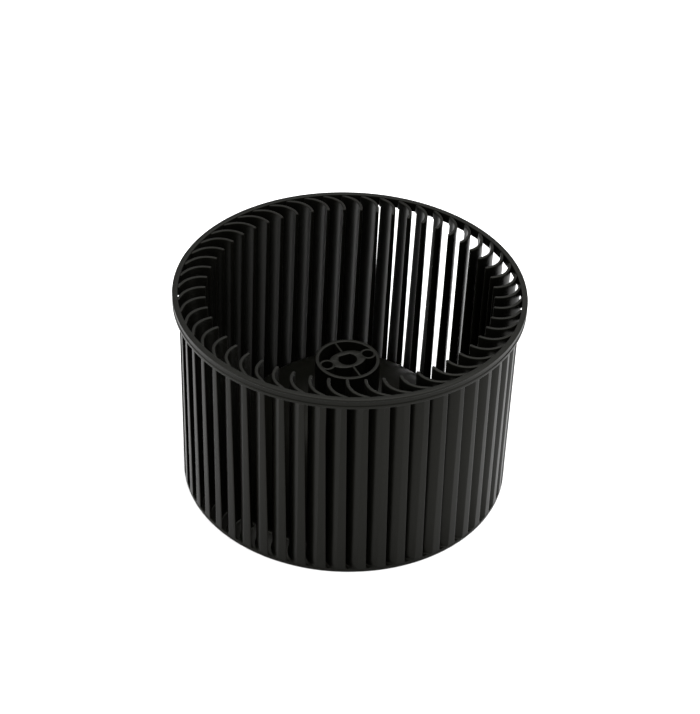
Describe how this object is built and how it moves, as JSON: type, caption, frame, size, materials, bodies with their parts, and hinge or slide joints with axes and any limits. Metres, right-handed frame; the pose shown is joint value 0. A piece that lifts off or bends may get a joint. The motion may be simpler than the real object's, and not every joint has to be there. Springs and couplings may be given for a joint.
{
  "type": "blower wheel",
  "caption": "Forward-curved centrifugal blower wheel: ring of curved blades, top ring, domed back plate and central hub with a D-shaped shaft bore.",
  "frame": {"origin": "on the shaft axis at the underside of the back plate", "axes": "+Z along the shaft axis, from the closed motor end towards the open inlet; +X is 27 degrees clockwise from the line of the two screw holes, seen from the inlet"},
  "size_m": [0.152, 0.152, 0.097],
  "materials": {
    "wheel_plastic": "satin black moulded plastic",
    "hub_plastic": "satin black moulded plastic"
  },
  "bodies": {
    "root": {"top_ring": "wheel_plastic", "back_plate": "wheel_plastic", "motor_dome": "wheel_plastic", "hub_ring": "hub_plastic", "hub_core": "hub_plastic", "hub_ribs": "hub_plastic", "hub_bosses": "hub_plastic", "blade_01": "wheel_plastic", "blade_02": "wheel_plastic", "blade_03": "wheel_plastic", "blade_04": "wheel_plastic", "blade_05": "wheel_plastic", "blade_06": "wheel_plastic", "blade_07": "wheel_plastic", "blade_08": "wheel_plastic", "blade_09": "wheel_plastic", "blade_10": "wheel_plastic", "blade_11": "wheel_plastic", "blade_12": "wheel_plastic", "blade_13": "wheel_plastic", "blade_14": "wheel_plastic", "blade_15": "wheel_plastic", "blade_16": "wheel_plastic", "blade_17": "wheel_plastic", "blade_18": "wheel_plastic", "blade_19": "wheel_plastic", "blade_20": "wheel_plastic", "blade_21": "wheel_plastic", "blade_22": "wheel_plastic", "blade_23": "wheel_plastic", "blade_24": "wheel_plastic", "blade_25": "wheel_plastic", "blade_26": "wheel_plastic", "blade_27": "wheel_plastic", "blade_28": "wheel_plastic", "blade_29": "wheel_plastic", "blade_30": "wheel_plastic", "blade_31": "wheel_plastic", "blade_32": "wheel_plastic", "blade_33": "wheel_plastic", "blade_34": "wheel_plastic", "blade_35": "wheel_plastic", "blade_36": "wheel_plastic", "blade_37": "wheel_plastic", "blade_38": "wheel_plastic", "blade_39": "wheel_plastic", "blade_40": "wheel_plastic", "blade_41": "wheel_plastic", "blade_42": "wheel_plastic", "blade_43": "wheel_plastic", "blade_44": "wheel_plastic", "blade_45": "wheel_plastic", "blade_46": "wheel_plastic", "blade_47": "wheel_plastic", "blade_48": "wheel_plastic", "blade_49": "wheel_plastic", "blade_50": "wheel_plastic", "blade_51": "wheel_plastic", "blade_52": "wheel_plastic", "blade_53": "wheel_plastic"}
  },
  "joints": []
}
